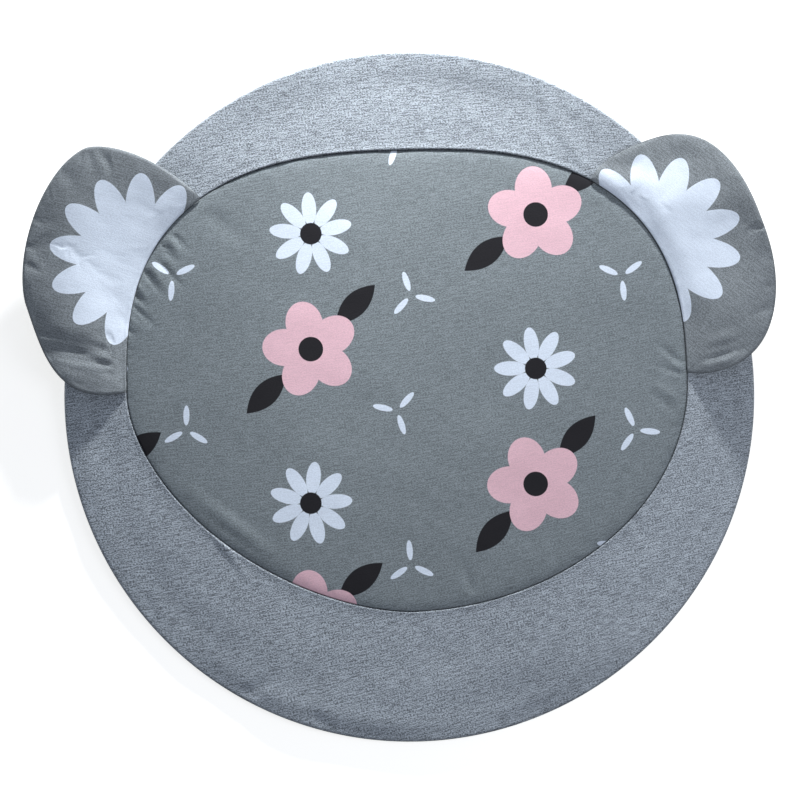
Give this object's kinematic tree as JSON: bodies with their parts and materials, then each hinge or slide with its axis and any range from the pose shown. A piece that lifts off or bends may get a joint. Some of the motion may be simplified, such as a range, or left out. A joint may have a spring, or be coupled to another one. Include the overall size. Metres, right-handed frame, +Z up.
{
  "type": "padded play mat",
  "caption": "Round padded play mat for a baby, lying flat: a ring of heather jersey round a wide oval front panel, with rounded ear flaps that reach past the rim.",
  "frame": {"origin": "on the floor, under the middle of the disc", "axes": "+Z up off the floor, +X across the mat to the viewer's right, +Y towards the mat's top edge, between the two ear flaps"},
  "size_m": [0.9727, 0.9, 0.0477],
  "materials": {
    "ring_jersey": "matt heather cotton jersey",
    "front_jersey": "matt printed cotton jersey"
  },
  "bodies": {
    "root": {"disc_pad": "ring_jersey", "front_panel": "front_jersey", "ear_left": "front_jersey", "ear_right": "front_jersey"}
  },
  "joints": []
}
